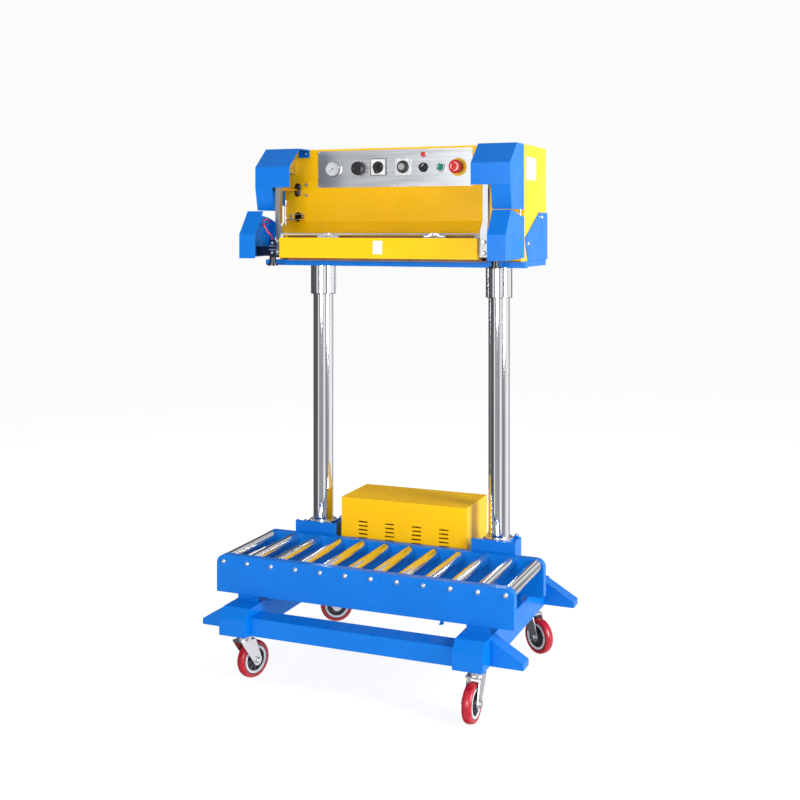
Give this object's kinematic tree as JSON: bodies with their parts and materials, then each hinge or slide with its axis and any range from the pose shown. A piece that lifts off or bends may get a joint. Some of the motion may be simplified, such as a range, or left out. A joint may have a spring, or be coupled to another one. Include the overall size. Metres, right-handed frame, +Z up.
{
  "type": "pneumatic jaw bag sealer",
  "caption": "Floor-standing pneumatic jaw sealer for heavy bags, with a wheeled blue base, a roller table, two chromed columns and a yellow height-adjustable sealing head.",
  "frame": {"origin": "on the floor, under the middle of the machine's bounding box", "axes": "+Z up, -Y towards the operator, +X to the operator's right"},
  "size_m": [1.143, 0.8264, 1.823],
  "materials": {
    "blue_paint": "gloss",
    "yellow_paint": "gloss",
    "brushed_steel": "brushed",
    "chrome_plate": "polished",
    "zinc_plate": "satin",
    "grey_steel": "satin",
    "ptfe_cloth": "satin",
    "black_plastic": "gloss",
    "grey_plastic": "matte",
    "red_polyurethane": "satin",
    "red_plastic": "gloss",
    "green_plastic": "gloss",
    "red_silicone": "satin",
    "core_steel": "matte"
  },
  "bodies": {
    "base": {"side_leg_left": "blue_paint", "side_leg_right": "blue_paint", "cross_tubes": "blue_paint", "table_front_beam": "blue_paint", "table_rear_beam": "blue_paint", "roller_shafts": "brushed_steel", "column_sockets": "blue_paint", "columns": "chrome_plate", "cabinet_cover": "yellow_paint", "cabinet_transformer": "core_steel", "castor_plates": "zinc_plate"},
    "fork_front_left": {"castor_fork_front_left": "zinc_plate"},
    "wheel_front_left": {"castor_wheel_front_left": "red_polyurethane"},
    "fork_front_right": {"castor_fork_front_right": "zinc_plate"},
    "wheel_front_right": {"castor_wheel_front_right": "red_polyurethane"},
    "fork_rear_left": {"castor_fork_rear_left": "zinc_plate"},
    "wheel_rear_left": {"castor_wheel_rear_left": "red_polyurethane"},
    "fork_rear_right": {"castor_fork_rear_right": "zinc_plate"},
    "wheel_rear_right": {"castor_wheel_rear_right": "red_polyurethane"},
    "roller_01_body": {"roller_01": "chrome_plate"},
    "roller_02_body": {"roller_02": "chrome_plate"},
    "roller_03_body": {"roller_03": "chrome_plate"},
    "roller_04_body": {"roller_04": "chrome_plate"},
    "roller_05_body": {"roller_05": "chrome_plate"},
    "roller_06_body": {"roller_06": "chrome_plate"},
    "roller_07_body": {"roller_07": "chrome_plate"},
    "roller_08_body": {"roller_08": "chrome_plate"},
    "roller_09_body": {"roller_09": "chrome_plate"},
    "roller_10_body": {"roller_10": "chrome_plate"},
    "roller_11_body": {"roller_11": "chrome_plate"},
    "roller_12_body": {"roller_12": "chrome_plate"},
    "head": {"head_tray": "blue_paint", "hood_shell": "yellow_paint", "hood_back_cover": "yellow_paint", "column_sleeves": "chrome_plate", "side_brackets": "blue_paint", "control_panel": "brushed_steel", "shoulder_cover_left": "blue_paint", "shoulder_cover_right": "blue_paint", "rear_jaw": "ptfe_cloth", "jaw_hangers": "brushed_steel", "head_screws": "brushed_steel", "instrument_bases": "brushed_steel", "air_cylinders": "zinc_plate"},
    "jaw": {"jaw_arms": "grey_steel", "jaw_guard": "yellow_paint", "sealing_bar": "ptfe_cloth", "lower_cover_left": "blue_paint", "lower_cover_right": "blue_paint", "clamp_rod": "chrome_plate", "jaw_end_blocks": "black_plastic", "heater_leads": "red_silicone"},
    "piston_rods": {"cylinder_rods": "chrome_plate"},
    "regulator_knob_body": {"regulator_knob": "black_plastic"},
    "gauge_needle_body": {"gauge_needle": "black_plastic"},
    "cam_switch_handle_body": {"cam_switch_handle": "black_plastic"},
    "dial_knob_body": {"dial_knob": "grey_plastic"},
    "selector_knob_body": {"selector_knob": "black_plastic"},
    "start_button_body": {"start_button": "green_plastic"},
    "stop_button_body": {"stop_button": "red_plastic"}
  },
  "joints": [
    {"name": "swivel_front_left", "type": "hinge", "parent": "base", "child": "fork_front_left", "pos_m": [-0.4135, -0.31275, 0.15], "axis": [0, 0, 1], "continuous": true},
    {"name": "spin_front_left", "type": "hinge", "parent": "fork_front_left", "child": "wheel_front_left", "pos_m": [-0.40113, -0.27682, 0.0625], "axis": [-0.9455, 0.3256, 0], "continuous": true},
    {"name": "swivel_front_right", "type": "hinge", "parent": "base", "child": "fork_front_right", "pos_m": [0.4135, -0.31275, 0.15], "axis": [0, 0, 1], "continuous": true},
    {"name": "spin_front_right", "type": "hinge", "parent": "fork_front_right", "child": "wheel_front_right", "pos_m": [0.4135, -0.35075, 0.0625], "axis": [1, 0, 0], "continuous": true},
    {"name": "swivel_rear_left", "type": "hinge", "parent": "base", "child": "fork_rear_left", "pos_m": [-0.4135, 0.32925, 0.15], "axis": [0, 0, 1], "continuous": true},
    {"name": "spin_rear_left", "type": "hinge", "parent": "fork_rear_left", "child": "wheel_rear_left", "pos_m": [-0.38093, 0.34882, 0.0625], "axis": [-0.515, 0.8572, 0], "continuous": true},
    {"name": "swivel_rear_right", "type": "hinge", "parent": "base", "child": "fork_rear_right", "pos_m": [0.4135, 0.32925, 0.15], "axis": [0, 0, 1], "continuous": true},
    {"name": "spin_rear_right", "type": "hinge", "parent": "fork_rear_right", "child": "wheel_rear_right", "pos_m": [0.44573, 0.30911, 0.0625], "axis": [0.5299, 0.848, 0], "continuous": true},
    {"name": "roller_01_spin", "type": "hinge", "parent": "base", "child": "roller_01_body", "pos_m": [-0.506, -0.11, 0.3885], "axis": [0, 1, 0], "continuous": true},
    {"name": "roller_02_spin", "type": "hinge", "parent": "base", "child": "roller_02_body", "pos_m": [-0.414, -0.11, 0.3885], "axis": [0, 1, 0], "continuous": true},
    {"name": "roller_03_spin", "type": "hinge", "parent": "base", "child": "roller_03_body", "pos_m": [-0.322, -0.11, 0.3885], "axis": [0, 1, 0], "continuous": true},
    {"name": "roller_04_spin", "type": "hinge", "parent": "base", "child": "roller_04_body", "pos_m": [-0.23, -0.11, 0.3885], "axis": [0, 1, 0], "continuous": true},
    {"name": "roller_05_spin", "type": "hinge", "parent": "base", "child": "roller_05_body", "pos_m": [-0.138, -0.11, 0.3885], "axis": [0, 1, 0], "continuous": true},
    {"name": "roller_06_spin", "type": "hinge", "parent": "base", "child": "roller_06_body", "pos_m": [-0.046, -0.11, 0.3885], "axis": [0, 1, 0], "continuous": true},
    {"name": "roller_07_spin", "type": "hinge", "parent": "base", "child": "roller_07_body", "pos_m": [0.046, -0.11, 0.3885], "axis": [0, 1, 0], "continuous": true},
    {"name": "roller_08_spin", "type": "hinge", "parent": "base", "child": "roller_08_body", "pos_m": [0.138, -0.11, 0.3885], "axis": [0, 1, 0], "continuous": true},
    {"name": "roller_09_spin", "type": "hinge", "parent": "base", "child": "roller_09_body", "pos_m": [0.23, -0.11, 0.3885], "axis": [0, 1, 0], "continuous": true},
    {"name": "roller_10_spin", "type": "hinge", "parent": "base", "child": "roller_10_body", "pos_m": [0.322, -0.11, 0.3885], "axis": [0, 1, 0], "continuous": true},
    {"name": "roller_11_spin", "type": "hinge", "parent": "base", "child": "roller_11_body", "pos_m": [0.414, -0.11, 0.3885], "axis": [0, 1, 0], "continuous": true},
    {"name": "roller_12_spin", "type": "hinge", "parent": "base", "child": "roller_12_body", "pos_m": [0.506, -0.11, 0.3885], "axis": [0, 1, 0], "continuous": true},
    {"name": "head_lift", "type": "slide", "parent": "base", "child": "head", "axis": [0, 0, 1], "range_m": [-0.25, 0.05]},
    {"name": "jaw_close", "type": "hinge", "parent": "head", "child": "jaw", "pos_m": [0, -0.09475, 1.76], "axis": [1, 0, 0], "range_deg": [0, 5]},
    {"name": "piston_travel", "type": "slide", "parent": "head", "child": "piston_rods", "axis": [0, 1, 0], "range_m": [0, 0.0075]},
    {"name": "regulator_turn", "type": "hinge", "parent": "head", "child": "regulator_knob_body", "pos_m": [-0.154, 0.05225, 1.75], "axis": [0, 1, 0], "range_deg": [0, 300]},
    {"name": "gauge_sweep", "type": "hinge", "parent": "head", "child": "gauge_needle_body", "pos_m": [-0.258, 0.05225, 1.75], "axis": [0, 1, 0], "range_deg": [-1, 271]},
    {"name": "cam_switch_turn", "type": "hinge", "parent": "head", "child": "cam_switch_handle_body", "pos_m": [-0.079, 0.05225, 1.754], "axis": [0, 1, 0], "range_deg": [-60, 60]},
    {"name": "dial_turn", "type": "hinge", "parent": "head", "child": "dial_knob_body", "pos_m": [0.017, 0.05225, 1.753], "axis": [0, 1, 0], "range_deg": [-150, 120]},
    {"name": "selector_turn", "type": "hinge", "parent": "head", "child": "selector_knob_body", "pos_m": [0.094, 0.05225, 1.75], "axis": [0, 1, 0], "range_deg": [-70, 0]},
    {"name": "start_press", "type": "slide", "parent": "head", "child": "start_button_body", "axis": [0, 1, 0], "range_m": [0, 0.0025], "stiffness_N_per_m": 400, "springref_m": -0.002},
    {"name": "stop_press", "type": "slide", "parent": "head", "child": "stop_button_body", "axis": [0, 1, 0], "range_m": [0, 0.004]}
  ],
  "couplings": [
    {"joint": "piston_travel", "follows": "jaw_close", "m_per_rad": 0.084},
    {"joint": "gauge_sweep", "follows": "regulator_turn", "ratio": 0.9}
  ]
}
